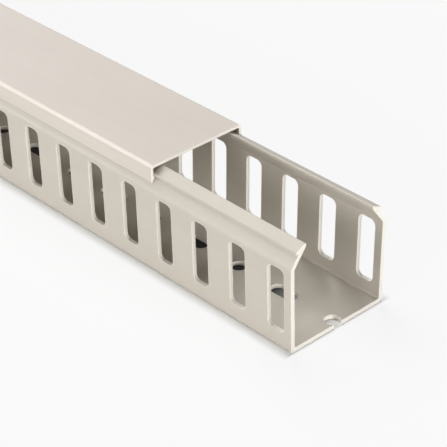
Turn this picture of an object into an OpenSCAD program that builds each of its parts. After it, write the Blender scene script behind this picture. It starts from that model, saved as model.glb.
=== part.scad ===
// Slotted wire duct: a U-shaped base channel with closed slots in both walls and
// fixing holes in its floor, and the press-on cover that slides along its lips.
// Origin: middle of the underside, halfway along the base and its cover together.
// X runs along the duct, Z is up.

/* [Length] */
// Length of the base and of the cover, as sold
stock_length = 2000; // [500:100:3000]
// How far the cover's end is slid back from the base's end
cover_setback = 75.5; // [0:0.5:200]

/* [Base walls] */
// Width of the base across its underside
base_width = 48; // [36:1:100]
// Height of the line where each wall bends inward
bend_height = 36.4; // [34:0.1:80]
// Thickness of the side walls
wall = 1.7; // [1.2:0.1:2.2]
// Thickness of the floor
floor_thickness = 1.8; // [1.2:0.1:3]
// Outward splay of each wall below the bend, in degrees
wall_splay = 1; // [0:0.1:2]
// Radius of the outer bottom corners
corner_radius = 1; // [0.4:0.1:1.5]
// Radius inside the corners between floor and walls
floor_fillet = 0.8; // [0.3:0.1:2]
// Outer radius of the bend below the lip
bend_radius = 3; // [2.3:0.1:4]

/* [Lips] */
// Inward lean of the wall above the bend, in degrees
lip_lean = 37; // [30:1:42]
// Rise from the bend to the underside of the lip's nose
nose_rise = 5.2; // [4.5:0.1:8]
// How far the nose stands out from the leaning wall
nose_reach = 1.2; // [0.6:0.1:1.4]
// Height of the nose's upright face
nose_face = 1.1; // [0.8:0.1:2]
// Width of the lip's sloping top, from the nose to the tip
lip_width = 4.7; // [4:0.1:6]
// Rise of the lip's sloping top, from the nose to the tip
lip_rise = 2.2; // [1.5:0.1:3]

/* [Wall slots] */
// Distance between slot centres
slot_pitch = 20; // [12:0.5:30]
// Width of a slot
slot_width = 8.4; // [6:0.1:10]
// Height of a slot
slot_height = 27.4; // [15:0.1:28]
// Height of a slot's lower edge above the underside
slot_base = 7; // [5:0.1:12]
// Radius of a slot's corners
slot_radius = 2.5; // [1:0.1:2.5]
// Distance from the base's end to the first slot
slot_margin = 3.6; // [2:0.1:12]

/* [Floor holes] */
// Distance between floor holes, round and long in turn
hole_pitch = 25; // [20:1:50]
// Width of every floor hole
hole_width = 6.5; // [4:0.1:10]
// Overall length of a long floor hole
hole_length = 13; // [11:0.5:20]
// Distance from the base's end to the centre of the first hole, which the end cuts
hole_margin = 2.6; // [0:0.1:20]

/* [Cover] */
// Thickness of the cover's flat top
cover_top = 1.2; // [0.8:0.1:2]
// Thickness of the cover's side flanges
flange_thickness = 1.1; // [0.8:0.1:1.6]
// Radius of the cover's long outer edges
cover_radius = 1.2; // [0.6:0.1:1.8]
// Gap between the cover and the lips
cover_clearance = 0.25; // [0.15:0.05:0.35]

/* [Hidden] */
duct_colour = [0.80, 0.765, 0.715];

arc_step = 8;      // largest turn between two points of a rounded corner, in degrees
overcut = 1;       // how far each cutter runs past the face that it cuts
edge_radius = 0.25; // rounding of the nose, the hooks and the corner under the cover
tip_radius = 0.4;  // rounding of the lip's tip and of the nose's shoulder
lip_tip = 1.2;     // thickness of a wide lip's tip, where it overhangs the leaning wall
circle_facets = 48;

// The slid-back cover and the base reach equally far from the origin.
base_end = (stock_length + cover_setback) / 2;
cover_end = (stock_length - cover_setback) / 2;

// A wall's points are [distance inward from the outer bottom corner, height].
splay = tan(wall_splay);
lean = tan(lip_lean);
lean_wall = wall / cos(lip_lean);             // the leaning wall's thickness, measured level
bend_in = -bend_height * splay;
function lean_outer(z) = bend_in + (z - bend_height) * lean;
function wall_inner(z) = wall / cos(wall_splay) - z * splay;
inner_bend_height = (wall / cos(wall_splay) - lean_wall - bend_in + bend_height * lean)
    / (lean + splay);
nose_height = bend_height + nose_rise;
nose_in = lean_outer(nose_height) - nose_reach;
tip_in = nose_in + lip_width;
tip_height = nose_height + nose_face + lip_rise;

// The leaning wall's inner face runs up to the tip, or ends under a lip too wide for that.
neck_height = bend_height + (tip_in - bend_in - lean_wall) / lean;
neck_radius = min(wall, (tip_height - neck_height - 2 * tip_radius) / tan(lip_lean / 2));
lip_underside = tip_height - lip_tip;
neck = neck_height < lip_underside
    ? [[tip_in, neck_height, neck_radius]]
    : [[tip_in, lip_underside, 0], [lean_outer(lip_underside) + lean_wall, lip_underside, 0]];

// The cover's flanges clear the noses, and its hooks lie under them.
flange_inner = nose_in - cover_clearance;
flange_outer = flange_inner - flange_thickness;
cover_underside = tip_height + cover_clearance;
hook_height = nose_height - cover_clearance;
lean_gap = cover_clearance / cos(lip_lean);   // the clearance, measured level
hook_in = lean_outer(hook_height) - lean_gap;
hook_radius = min(edge_radius, 0.8 * (hook_in - flange_inner) * tan((90 - lip_lean) / 2));
flange_height = bend_height + (flange_outer + lean_gap - bend_in) / lean;

slot_span = stock_length - 2 * slot_margin - slot_width;
slot_count = floor(slot_span / slot_pitch) + 1;
hole_span = stock_length - hole_margin - hole_length;
hole_count = floor(hole_span / hole_pitch) + 1;

// Half of each outline, as [inward, height, corner radius], in order round the shape.
base_half = [
    [0, 0, corner_radius],
    [bend_in, bend_height, bend_radius],
    [lean_outer(nose_height), nose_height, 0],
    [nose_in, nose_height, edge_radius],
    [nose_in, nose_height + nose_face, tip_radius],
    [tip_in, tip_height, tip_radius],
    each neck,
    [wall_inner(inner_bend_height), inner_bend_height, bend_radius - wall],
    [wall_inner(floor_thickness), floor_thickness, floor_fillet],
];
cover_half = [
    [hook_in, hook_height, hook_radius],
    [flange_outer, flange_height, edge_radius],
    [flange_outer, cover_underside + cover_top, cover_radius],
];
cover_half_inside = [
    [flange_inner, cover_underside, edge_radius],
    [flange_inner, hook_height, 0],
];

// Moves a half outline from the wall's corner to the middle of the duct, on side -1 or 1.
function placed(half, side) =
    [for (p = half) [side * (base_width / 2 - p[0]), p[1], p[2]]];
function reversed(list) = [for (i = [len(list) - 1 : -1 : 0]) list[i]];

// Replaces the corner q between p and r by an arc of radius q[2].
function corner(p, q, r) = q[2] == 0 ? [[q[0], q[1]]] :
    let (
        a = [p[0] - q[0], p[1] - q[1]],
        b = [r[0] - q[0], r[1] - q[1]],
        u = a / norm(a),
        v = b / norm(b),
        half_angle = acos(u * v) / 2,
        bisector = (u + v) / norm(u + v),
        centre = [q[0], q[1]] + bisector * q[2] / sin(half_angle),
        start = [q[0], q[1]] + u * q[2] / tan(half_angle) - centre,
        turn = sign(u[0] * v[1] - u[1] * v[0]) * (2 * half_angle - 180),
        steps = max(2, ceil(abs(turn) / arc_step))
    )
    [for (i = [0 : steps])
        let (t = turn * i / steps)
        centre + [start[0] * cos(t) - start[1] * sin(t), start[0] * sin(t) + start[1] * cos(t)]];
function rounded(outline) = let (n = len(outline))
    [for (i = [0 : n - 1])
        each corner(outline[(i + n - 1) % n], outline[i], outline[(i + 1) % n])];

// Extrudes an outline in Y and Z for the stock length, up to x_end.
module extrusion(outline, x_end) {
    translate([x_end - stock_length, 0, 0])
        rotate([90, 0, 90])
            linear_extrude(stock_length) polygon(rounded(outline));
}

module slot_outline() {
    side = slot_width / 2 - slot_radius;
    end = slot_height - slot_radius;
    translate([-side, 0]) square([2 * side, slot_height]);
    translate([-slot_width / 2, slot_radius])
        square([slot_width, slot_height - 2 * slot_radius]);
    for (x = [-side, side], z = [slot_radius, end])
        translate([x, z]) circle(slot_radius, $fn = circle_facets);
}

// One slot is punched through both walls at once.
module wall_slot() {
    through = base_width + 2 * bend_height * splay + 2 * overcut;
    translate([0, through / 2, slot_base])
        rotate([90, 0, 0]) linear_extrude(through) slot_outline();
}

module floor_hole(length) {
    straight = length - hole_width;
    translate([0, 0, -overcut]) linear_extrude(floor_thickness + 2 * overcut) {
        for (x = [-straight / 2, straight / 2])
            translate([x, 0]) circle(hole_width / 2, $fn = circle_facets);
        if (straight > 0)
            translate([-straight / 2, -hole_width / 2]) square([straight, hole_width]);
    }
}

module base_channel() {
    color(duct_colour) difference() {
        extrusion(concat(placed(base_half, -1), reversed(placed(base_half, 1))), base_end);
        for (i = [0 : slot_count - 1])
            translate([base_end - slot_margin - slot_width / 2 - i * slot_pitch, 0, 0])
                wall_slot();
        for (i = [0 : hole_count - 1])
            translate([base_end - hole_margin - i * hole_pitch, 0, 0])
                floor_hole(i % 2 == 0 ? hole_width : hole_length);
    }
}

module cover() {
    left = concat(placed(cover_half_inside, -1), placed(cover_half, -1));
    right = concat(placed(cover_half_inside, 1), placed(cover_half, 1));
    color(duct_colour) extrusion(concat(left, reversed(right)), cover_end);
}

base_channel();
cover();
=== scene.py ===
"""A slotted wire duct on a pale floor: the base channel and its cover, in PVC."""

import math

import bpy
from mathutils import Matrix, Vector


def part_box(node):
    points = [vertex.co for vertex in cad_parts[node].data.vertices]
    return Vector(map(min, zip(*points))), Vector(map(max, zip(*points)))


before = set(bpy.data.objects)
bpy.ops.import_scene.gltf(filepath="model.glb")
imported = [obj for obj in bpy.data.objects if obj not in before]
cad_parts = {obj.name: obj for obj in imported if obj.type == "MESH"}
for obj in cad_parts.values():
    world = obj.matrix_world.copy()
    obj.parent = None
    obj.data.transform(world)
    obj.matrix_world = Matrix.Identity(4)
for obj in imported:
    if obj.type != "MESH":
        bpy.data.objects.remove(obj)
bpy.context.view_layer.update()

# The camera stands in front of the duct's bare end and looks down along it.
CAMERA_PLACE = Vector((1.40087, -0.39212, 0.38443))
CAMERA_AZIMUTH = 47.252
CAMERA_ELEVATION = 32.436
CAMERA_ROLL = -0.7914
CAMERA_LENS = 143.15
SENSOR_WIDTH = 36.0
CLIP_NEAR = 0.01
CLIP_FAR = 100.0

FLOOR_SIZE = 40.0
FLOOR_DROP = 0.0001
FLOOR_COLOUR = (0.90, 0.90, 0.895, 1.0)
# Painted shade: the dark colour the floor is painted under the duct.
PAINTED_SHADE_COLOUR = (0.08, 0.08, 0.08, 1.0)

SKY_STRENGTH = 0.06
BACKGROUND_COLOUR = (0.98, 0.98, 0.98, 1.0)
FLOOR_ROUGHNESS = 0.9
FLOOR_GLOSS = 0.1
FLOOR_OWN_LIGHT = 0.86
# How far from the duct's sides and ends its whole shade fades out on the floor.
SIDE_SHADE_REACH = 0.004
END_SHADE_REACH = 0.001
# How far in under the duct, from its ends and sides, the floor's painted shade starts, and where
# it is whole.
PAINTED_SHADE_FROM_END = (0.008, 0.034)
PAINTED_SHADE_FROM_SIDE = (0.004, 0.010)

# Each lamp: compass angle from +X, height above the floor, strength, softness (degrees).
LAMPS = {
    "Key": (166, 48, 2.4, 40),
    "Front": (224, 6, 1.65, 24),
    "Side": (272, 22, 0.75, 26),
    "End": (352, 4, 2.95, 24),
}

BASE_COLOUR = (0.565, 0.519, 0.448, 1.0)
COVER_COLOUR = (0.672, 0.604, 0.536, 1.0)
CUT_COLOUR = (0.89, 0.85, 0.77, 1.0)
DUST_COLOUR = (0.86, 0.85, 0.82, 1.0)

BASE_ROUGHNESS = 0.55
COVER_ROUGHNESS = 0.48
PVC_IOR = 1.53
EDGE_REACH = 0.0006
BASE_LINES_PER_METRE = 900.0
COVER_LINES_PER_METRE = 1200.0
# How much the rounded long edges are made glossier and lightened by a painted highlight.
BASE_POLISH_AND_HIGHLIGHT = 0.0
COVER_POLISH_AND_HIGHLIGHT = 0.6

# Shares by which parts of a surface are lighter or darker than its plain colour.
DARK_LINE_SHADE = 0.975
PALE_LINE_SHADE = 1.005
CLOUD_SHADE = 1.04
# A painted highlight: how much lighter the rounded long edges are.
PAINTED_HIGHLIGHT_SHADE = 1.25
TOOL_MARK_SHADE = 0.93
CLOUD_SHARE = 0.5
FLECK_SHARE = 0.12
RUB_SHARE = 0.10

# What each effect adds to the roughness.
CLOUD_ROUGHENS = -0.06
RUB_ROUGHENS = 0.12
CUT_ROUGHENS = 0.22
POLISH_ROUGHENS = -0.16

BUMP_STRENGTH = 0.35
BUMP_DISTANCE = 0.00006
LINES_IN_SKIN = 0.6
PEEL_IN_SKIN = 0.4

# Grains per metre of the fine patterns.
BROAD_LINES = 130.0
PEEL_GRAIN = 1400.0
CLOUD_GRAIN = 26.0
SPECK_GRAIN = 640.0
RUB_GRAIN = 520.0
RUB_PATCH_GRAIN = 34.0
TOOL_MARK_GRAIN = 2600.0
WHITENING_GRAIN = 420.0

# Scales that draw a pattern out along the duct, and tool marks across it.
LINE_STRETCH = (0.004, 1.0, 1.0)
RUB_STRETCH = (0.16, 1.0, 1.0)
TOOL_MARK_STRETCH = (1.0, 0.06, 1.0)

# The base's upright walls: how far in from its widest point they reach, and the heights
# above its underside that they lie between.
WALL_DEPTH = 0.0041
FLOOR_REACH = 0.0026
WALL_REACH = 0.0355


# ---- node helpers -------------------------------------------------------------------


def new_group(name, inputs, outputs):
    """An empty shader node group with named sockets, and its two end nodes."""
    group = bpy.data.node_groups.new(name, "ShaderNodeTree")
    for socket, kind, value in inputs:
        made = group.interface.new_socket(socket, in_out="INPUT", socket_type=kind)
        if value is not None:
            made.default_value = value
    for socket, kind in outputs:
        group.interface.new_socket(socket, in_out="OUTPUT", socket_type=kind)
    return group, group.nodes.new("NodeGroupInput"), group.nodes.new("NodeGroupOutput")


def math_node(tree, operation, first, second=None):
    """A Math node; each operand is a socket or a number."""
    node = tree.nodes.new("ShaderNodeMath")
    node.operation = operation
    for socket, value in zip(node.inputs, (first, second)):
        if value is None:
            continue
        if isinstance(value, (int, float)):
            socket.default_value = value
        else:
            tree.links.new(value, socket)
    return node.outputs[0]


def ramp_node(tree, value, low, high):
    """Maps value from low..high to 0..1, clamped."""
    node = tree.nodes.new("ShaderNodeMapRange")
    node.clamp = True
    tree.links.new(value, node.inputs["Value"])
    node.inputs["From Min"].default_value = low
    node.inputs["From Max"].default_value = high
    return node.outputs["Result"]


def noise_node(tree, vector, scale, detail=2.0, roughness=0.5):
    """Noise with scale grains to the metre, from 0 to 1."""
    node = tree.nodes.new("ShaderNodeTexNoise")
    node.inputs["Scale"].default_value = scale
    node.inputs["Detail"].default_value = detail
    node.inputs["Roughness"].default_value = roughness
    tree.links.new(vector, node.inputs["Vector"])
    return node.outputs["Fac"]


def stretch_node(tree, vector, scale):
    """The position scaled along each axis: below 1 draws a pattern out."""
    node = tree.nodes.new("ShaderNodeMapping")
    node.inputs["Scale"].default_value = scale
    tree.links.new(vector, node.inputs["Vector"])
    return node.outputs["Vector"]


def mix_colour(tree, factor, first, second):
    """From the first colour to the second by factor; each colour is a socket or a tuple."""
    node = tree.nodes.new("ShaderNodeMix")
    node.data_type = "RGBA"
    tree.links.new(factor, node.inputs[0])
    # A Mix node has a pair of inputs and an output of each kind: these are the colours.
    for socket, value in zip(node.inputs[6:8], (first, second)):
        if isinstance(value, tuple):
            socket.default_value = value
        else:
            tree.links.new(value, socket)
    return node.outputs[2]


def mix_value(tree, factor, first, second):
    """From the first socket's value to the second's by factor."""
    node = tree.nodes.new("ShaderNodeMix")
    for socket, value in zip(node.inputs[0:1] + node.inputs[2:4], (factor, first, second)):
        tree.links.new(value, socket)
    return node.outputs[0]


def shade(colour, share):
    """The colour, lighter or darker by a share."""
    return tuple(min(1.0, channel * share) for channel in colour[:3]) + (1.0,)


# ---- effects that the materials share -----------------------------------------------


def extrusion_lines_group():
    """Fine straight die lines that run the whole length of an extruded profile."""
    group, start, end = new_group(
        "Extrusion lines",
        [
            ("Position", "NodeSocketVector", None),
            ("Lines per metre", "NodeSocketFloat", BASE_LINES_PER_METRE),
        ],
        [("Height", "NodeSocketFloat"), ("Tint", "NodeSocketFloat")],
    )
    along = stretch_node(group, start.outputs["Position"], LINE_STRETCH)
    fine = group.nodes.new("ShaderNodeTexNoise")
    fine.inputs["Detail"].default_value = 3.0
    fine.inputs["Roughness"].default_value = 0.6
    group.links.new(along, fine.inputs["Vector"])
    group.links.new(start.outputs["Lines per metre"], fine.inputs["Scale"])
    broad = noise_node(group, along, BROAD_LINES)
    group.links.new(fine.outputs["Fac"], end.inputs["Height"])
    group.links.new(ramp_node(group, broad, 0.35, 0.65), end.inputs["Tint"])
    return group


def plastic_grain_group():
    """The faint orange peel and cloudiness of hard PVC."""
    group, start, end = new_group(
        "Plastic grain",
        [("Position", "NodeSocketVector", None)],
        [("Height", "NodeSocketFloat"), ("Cloud", "NodeSocketFloat")],
    )
    peel = noise_node(group, start.outputs["Position"], PEEL_GRAIN)
    cloud = noise_node(group, start.outputs["Position"], CLOUD_GRAIN, detail=4.0, roughness=0.6)
    group.links.new(peel, end.inputs["Height"])
    group.links.new(ramp_node(group, cloud, 0.3, 0.7), end.inputs["Cloud"])
    return group


def flecks_group():
    """Specks of dust and short faint rubs along the length, from handling and packing."""
    group, start, end = new_group(
        "Flecks and rubs",
        [("Position", "NodeSocketVector", None)],
        [("Flecks", "NodeSocketFloat"), ("Rubs", "NodeSocketFloat")],
    )
    position = start.outputs["Position"]
    specks = noise_node(group, position, SPECK_GRAIN, detail=1.0)
    streaks = stretch_node(group, position, RUB_STRETCH)
    rubs = ramp_node(group, noise_node(group, streaks, RUB_GRAIN, 3.0, 0.65), 0.56, 0.74)
    patches = ramp_node(group, noise_node(group, position, RUB_PATCH_GRAIN), 0.50, 0.66)
    group.links.new(ramp_node(group, specks, 0.70, 0.76), end.inputs["Flecks"])
    group.links.new(math_node(group, "MULTIPLY", rubs, patches), end.inputs["Rubs"])
    return group


def cut_faces_group():
    """Where the profile was sawn across or punched through, and the marks of the tool."""
    group, start, end = new_group(
        "Cut faces",
        [
            ("Position", "NodeSocketVector", None),
            ("Normal", "NodeSocketVector", None),
            ("Wall from", "NodeSocketFloat", 1.0),
            ("Floor top", "NodeSocketFloat", -1.0),
            ("Neck from", "NodeSocketFloat", -1.0),
        ],
        [("Mask", "NodeSocketFloat"), ("Marks", "NodeSocketFloat")],
    )
    place = group.nodes.new("ShaderNodeSeparateXYZ")
    group.links.new(start.outputs["Position"], place.inputs[0])
    facing = group.nodes.new("ShaderNodeSeparateXYZ")
    group.links.new(start.outputs["Normal"], facing.inputs[0])
    aside = math_node(group, "ABSOLUTE", place.outputs["Y"])
    level = place.outputs["Z"]
    # The upright walls face sideways, and the floor faces up and down: the rest there is cut.
    in_wall = math_node(group, "GREATER_THAN", aside, start.outputs["Wall from"])
    above = math_node(group, "GREATER_THAN", level, start.outputs["Floor top"])
    below = math_node(group, "LESS_THAN", level, start.outputs["Neck from"])
    in_wall = math_node(group, "MULTIPLY", in_wall, above)
    in_wall = math_node(group, "MULTIPLY", in_wall, below)
    turned = ramp_node(group, math_node(group, "ABSOLUTE", facing.outputs["Y"]), 0.8, 0.6)
    slot_faces = math_node(group, "MULTIPLY", in_wall, turned)
    in_floor = math_node(group, "LESS_THAN", level, start.outputs["Floor top"])
    inner = math_node(group, "LESS_THAN", aside, start.outputs["Wall from"])
    in_floor = math_node(group, "MULTIPLY", in_floor, inner)
    upright = ramp_node(group, math_node(group, "ABSOLUTE", facing.outputs["Z"]), 0.8, 0.6)
    hole_faces = math_node(group, "MULTIPLY", in_floor, upright)
    ends = ramp_node(group, math_node(group, "ABSOLUTE", facing.outputs["X"]), 0.75, 0.95)
    punched = math_node(group, "MAXIMUM", slot_faces, hole_faces)
    mask = math_node(group, "MAXIMUM", ends, punched)
    group.links.new(mask, end.inputs["Mask"])
    across = stretch_node(group, start.outputs["Position"], TOOL_MARK_STRETCH)
    marks = noise_node(group, across, TOOL_MARK_GRAIN, roughness=0.6)
    group.links.new(marks, end.inputs["Marks"])
    return group


def pale_edges_group():
    """The sharp edges, where sawing and punching leave the plastic stressed white."""
    group, start, end = new_group(
        "Pale edges",
        [("Reach", "NodeSocketFloat", EDGE_REACH), ("Position", "NodeSocketVector", None)],
        [("Mask", "NodeSocketFloat")],
    )
    rounded = group.nodes.new("ShaderNodeBevel")
    rounded.samples = 6
    group.links.new(start.outputs["Reach"], rounded.inputs["Radius"])
    surface = group.nodes.new("ShaderNodeNewGeometry")
    match = group.nodes.new("ShaderNodeVectorMath")
    match.operation = "DOT_PRODUCT"
    group.links.new(rounded.outputs["Normal"], match.inputs[0])
    group.links.new(surface.outputs["Normal"], match.inputs[1])
    bend = math_node(group, "SUBTRACT", 1.0, match.outputs["Value"])
    edge = ramp_node(group, bend, 0.03, 0.14)
    uneven = noise_node(group, start.outputs["Position"], WHITENING_GRAIN)
    whitened = math_node(group, "MULTIPLY", edge, ramp_node(group, uneven, 0.2, 0.6))
    group.links.new(whitened, end.inputs["Mask"])
    return group


def rounded_edges_group():
    """The rounded long edges, between a flat top and an upright side: where hands rub the plastic
    glossier, and where a highlight is painted into the colour.
    """
    group, start, end = new_group(
        "Rounded edges",
        [("Normal", "NodeSocketVector", None)],
        [("Mask", "NodeSocketFloat")],
    )
    facing = group.nodes.new("ShaderNodeSeparateXYZ")
    group.links.new(start.outputs["Normal"], facing.inputs[0])
    aside = math_node(group, "ABSOLUTE", facing.outputs["Y"])
    upward = math_node(group, "MAXIMUM", facing.outputs["Z"], 0.0)
    both = math_node(group, "MULTIPLY", aside, upward)
    group.links.new(ramp_node(group, both, 0.15, 0.45), end.inputs["Mask"])
    return group


EXTRUSION_LINES = extrusion_lines_group()
PLASTIC_GRAIN = plastic_grain_group()
FLECKS = flecks_group()
CUT_FACES = cut_faces_group()
PALE_EDGES = pale_edges_group()
ROUNDED_EDGES = rounded_edges_group()


def placed_group(tree, group, **values):
    """The group in this material; each value is a socket or a number, by its socket's name."""
    node = tree.nodes.new("ShaderNodeGroup")
    node.node_tree = group
    for socket, value in values.items():
        name = socket.replace("_", " ")
        if isinstance(value, (int, float)):
            node.inputs[name].default_value = value
        else:
            tree.links.new(value, node.inputs[name])
    return node


def weighted_sum(tree, start, *terms):
    """start plus each socket times its weight."""
    total = start
    for socket, weight in terms:
        total = math_node(tree, "ADD", math_node(tree, "MULTIPLY", socket, weight), total)
    return total


def base_walls():
    """Where the base's upright walls and its floor are, by the cut-face group's sockets."""
    low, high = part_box("base_channel")
    return {
        "Wall_from": high.y - WALL_DEPTH,
        "Floor_top": low.z + FLOOR_REACH,
        "Neck_from": low.z + WALL_REACH,
    }


def pvc_material(name, colour, plain_roughness, lines_per_metre, polish_and_highlight_share, walls):
    """Satin PVC; walls says where upright walls with punched slots are, and is empty for none."""
    material = bpy.data.materials.new(name)
    material.use_nodes = True
    tree = material.node_tree
    shader = tree.nodes["Principled BSDF"]
    shader.inputs["IOR"].default_value = PVC_IOR
    place = tree.nodes.new("ShaderNodeTexCoord")
    position = place.outputs["Object"]
    facing = place.outputs["Normal"]
    lines = placed_group(
        tree, EXTRUSION_LINES, Position=position, Lines_per_metre=lines_per_metre
    )
    grain = placed_group(tree, PLASTIC_GRAIN, Position=position)
    flecks = placed_group(tree, FLECKS, Position=position)
    cut = placed_group(tree, CUT_FACES, Position=position, Normal=facing, **walls)
    edges = placed_group(tree, PALE_EDGES, Position=position, Reach=EDGE_REACH)
    rounded = placed_group(tree, ROUNDED_EDGES, Normal=facing)

    dark_line = shade(colour, DARK_LINE_SHADE)
    pale_line = shade(colour, PALE_LINE_SHADE)
    surface = mix_colour(tree, lines.outputs["Tint"], dark_line, pale_line)
    cloudy = math_node(tree, "MULTIPLY", grain.outputs["Cloud"], CLOUD_SHARE)
    surface = mix_colour(tree, cloudy, surface, shade(colour, CLOUD_SHADE))
    dusty = weighted_sum(
        tree,
        0.0,
        (flecks.outputs["Flecks"], FLECK_SHARE),
        (flecks.outputs["Rubs"], RUB_SHARE),
    )
    surface = mix_colour(tree, dusty, surface, DUST_COLOUR)
    # On the rounded long edges: a painted highlight in the colour, and lower roughness from
    # polish.
    polish_and_highlight = math_node(tree, "MULTIPLY", rounded.outputs["Mask"], polish_and_highlight_share)
    surface = mix_colour(tree, polish_and_highlight, surface, shade(colour, PAINTED_HIGHLIGHT_SHADE))
    tool_mark = shade(CUT_COLOUR, TOOL_MARK_SHADE)
    sawn = mix_colour(tree, cut.outputs["Marks"], tool_mark, CUT_COLOUR)
    surface = mix_colour(tree, cut.outputs["Mask"], surface, sawn)
    surface = mix_colour(tree, edges.outputs["Mask"], surface, CUT_COLOUR)
    tree.links.new(surface, shader.inputs["Base Color"])

    roughness = weighted_sum(
        tree,
        plain_roughness,
        (grain.outputs["Cloud"], CLOUD_ROUGHENS),
        (flecks.outputs["Rubs"], RUB_ROUGHENS),
        (cut.outputs["Mask"], CUT_ROUGHENS),
        (polish_and_highlight, POLISH_ROUGHENS),
    )
    tree.links.new(roughness, shader.inputs["Roughness"])

    skin = weighted_sum(
        tree,
        0.0,
        (lines.outputs["Height"], LINES_IN_SKIN),
        (grain.outputs["Height"], PEEL_IN_SKIN),
    )
    height = mix_value(tree, cut.outputs["Mask"], skin, cut.outputs["Marks"])
    bump = tree.nodes.new("ShaderNodeBump")
    bump.inputs["Strength"].default_value = BUMP_STRENGTH
    bump.inputs["Distance"].default_value = BUMP_DISTANCE
    tree.links.new(height, bump.inputs["Height"])
    tree.links.new(bump.outputs["Normal"], shader.inputs["Normal"])
    return material


def seen_directly(tree):
    """1 where the camera sees a surface itself, in a gloss or through glass."""
    path = tree.nodes.new("ShaderNodeLightPath")
    camera_ray = path.outputs["Is Camera Ray"]
    straight = math_node(tree, "MAXIMUM", camera_ray, path.outputs["Is Glossy Ray"])
    return math_node(tree, "MAXIMUM", straight, path.outputs["Is Transmission Ray"])


def floor_material():
    """Pale paint that shows partly as the plain background, so its shadows stay light."""
    material = bpy.data.materials.new("Studio floor")
    material.use_nodes = True
    tree = material.node_tree
    paint = tree.nodes["Principled BSDF"]
    paint.inputs["Roughness"].default_value = FLOOR_ROUGHNESS
    paint.inputs["Specular IOR Level"].default_value = FLOOR_GLOSS
    plain = tree.nodes.new("ShaderNodeEmission")
    plain.inputs["Color"].default_value = BACKGROUND_COLOUR
    # Under the duct and close beside it the floor is only paint, and holds the whole shade.
    low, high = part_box("base_channel")
    place = tree.nodes.new("ShaderNodeTexCoord")
    parts = tree.nodes.new("ShaderNodeSeparateXYZ")
    tree.links.new(place.outputs["Object"], parts.inputs[0])
    aside = math_node(tree, "ABSOLUTE", parts.outputs["Y"])
    beside = math_node(tree, "SUBTRACT", aside, high.y)
    ahead = math_node(tree, "SUBTRACT", parts.outputs["X"], high.x)
    behind = math_node(tree, "SUBTRACT", low.x, parts.outputs["X"])
    beyond = math_node(tree, "MAXIMUM", ahead, behind)
    clear_of_side = ramp_node(tree, beside, 0.0, SIDE_SHADE_REACH)
    clear_of_end = ramp_node(tree, beyond, 0.0, END_SHADE_REACH)
    clear = math_node(tree, "MAXIMUM", clear_of_side, clear_of_end)
    # Hardly any light gets under the duct, so there the floor is painted dark: a painted shade
    # that shows through the duct's floor holes.
    starts, ends = PAINTED_SHADE_FROM_END
    deep_in = ramp_node(tree, beyond, -starts, -ends)
    starts, ends = PAINTED_SHADE_FROM_SIDE
    well_under = ramp_node(tree, beside, -starts, -ends)
    painted_shade_mask = math_node(tree, "MULTIPLY", deep_in, well_under)
    coat = mix_colour(tree, painted_shade_mask, FLOOR_COLOUR, PAINTED_SHADE_COLOUR)
    tree.links.new(coat, paint.inputs["Base Color"])
    share = math_node(tree, "MULTIPLY", seen_directly(tree), FLOOR_OWN_LIGHT)
    share = math_node(tree, "MULTIPLY", share, clear)
    mix = tree.nodes.new("ShaderNodeMixShader")
    tree.links.new(share, mix.inputs[0])
    tree.links.new(paint.outputs[0], mix.inputs[1])
    tree.links.new(plain.outputs[0], mix.inputs[2])
    tree.links.new(mix.outputs[0], tree.nodes["Material Output"].inputs["Surface"])
    return material


def add_floor():
    """The studio floor, just under the duct so that the two don't share a plane."""
    bpy.ops.mesh.primitive_plane_add(size=FLOOR_SIZE, location=(0, 0, -FLOOR_DROP))
    floor = bpy.context.object
    floor.name = "studio_floor"
    floor.data.materials.append(floor_material())


def add_lamp(name, compass, height, strength, softness):
    """A soft far lamp that shines on the duct from that direction."""
    compass = math.radians(compass)
    height = math.radians(height)
    lamp = bpy.data.lights.new(name, "SUN")
    lamp.energy = strength
    lamp.angle = math.radians(softness)
    holder = bpy.data.objects.new(name, lamp)
    holder.rotation_mode = "QUATERNION"
    towards = Vector((
        math.cos(compass) * math.cos(height),
        math.sin(compass) * math.cos(height),
        math.sin(height),
    ))
    holder.rotation_quaternion = towards.to_track_quat("Z", "Y")
    bpy.context.scene.collection.objects.link(holder)


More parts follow.
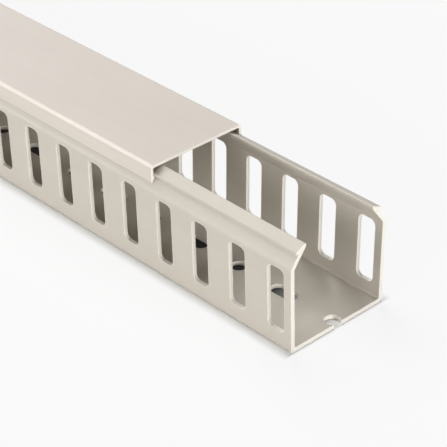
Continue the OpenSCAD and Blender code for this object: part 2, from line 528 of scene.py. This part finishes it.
def light_the_sky():
    """Faint even light from all round, and a plain pale background where it is seen."""
    world = bpy.data.worlds.new("Studio")
    world.use_nodes = True
    tree = world.node_tree
    sky = tree.nodes["Background"]
    sky.inputs["Color"].default_value = (1.0, 1.0, 1.0, 1.0)
    sky.inputs["Strength"].default_value = SKY_STRENGTH
    seen = tree.nodes.new("ShaderNodeBackground")
    seen.inputs["Color"].default_value = BACKGROUND_COLOUR
    mix = tree.nodes.new("ShaderNodeMixShader")
    tree.links.new(seen_directly(tree), mix.inputs[0])
    tree.links.new(sky.outputs[0], mix.inputs[1])
    tree.links.new(seen.outputs[0], mix.inputs[2])
    tree.links.new(mix.outputs[0], tree.nodes["World Output"].inputs["Surface"])
    bpy.context.scene.world = world


def add_camera():
    """The camera at its place, turned to its azimuth, elevation and roll."""
    azimuth = math.radians(CAMERA_AZIMUTH)
    elevation = math.radians(CAMERA_ELEVATION)
    back = Vector((
        math.sin(azimuth) * math.cos(elevation),
        -math.cos(azimuth) * math.cos(elevation),
        math.sin(elevation),
    ))
    level_right = Vector((0, 0, 1)).cross(back).normalized()
    level_up = back.cross(level_right)
    roll = math.radians(CAMERA_ROLL)
    right = level_right * math.cos(roll) + level_up * math.sin(roll)
    up = level_up * math.cos(roll) - level_right * math.sin(roll)
    turn = Matrix((right, up, back)).transposed()
    data = bpy.data.cameras.new("Camera")
    data.lens = CAMERA_LENS
    data.sensor_width = SENSOR_WIDTH
    data.clip_start = CLIP_NEAR
    data.clip_end = CLIP_FAR
    camera = bpy.data.objects.new("Camera", data)
    camera.matrix_world = Matrix.Translation(CAMERA_PLACE) @ turn.to_4x4()
    bpy.context.scene.collection.objects.link(camera)
    bpy.context.scene.camera = camera


bpy.ops.object.select_all(action="DESELECT")
add_camera()
add_floor()
for name, settings in LAMPS.items():
    add_lamp(name, *settings)
light_the_sky()

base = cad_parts["base_channel"]
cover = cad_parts["cover"]
base.material_slots[0].material = pvc_material(
    "Base PVC", BASE_COLOUR, BASE_ROUGHNESS, BASE_LINES_PER_METRE, BASE_POLISH_AND_HIGHLIGHT, base_walls()
)
cover.material_slots[0].material = pvc_material(
    "Cover PVC", COVER_COLOUR, COVER_ROUGHNESS, COVER_LINES_PER_METRE, COVER_POLISH_AND_HIGHLIGHT, {}
)

bpy.context.scene.view_settings.view_transform = "Standard"
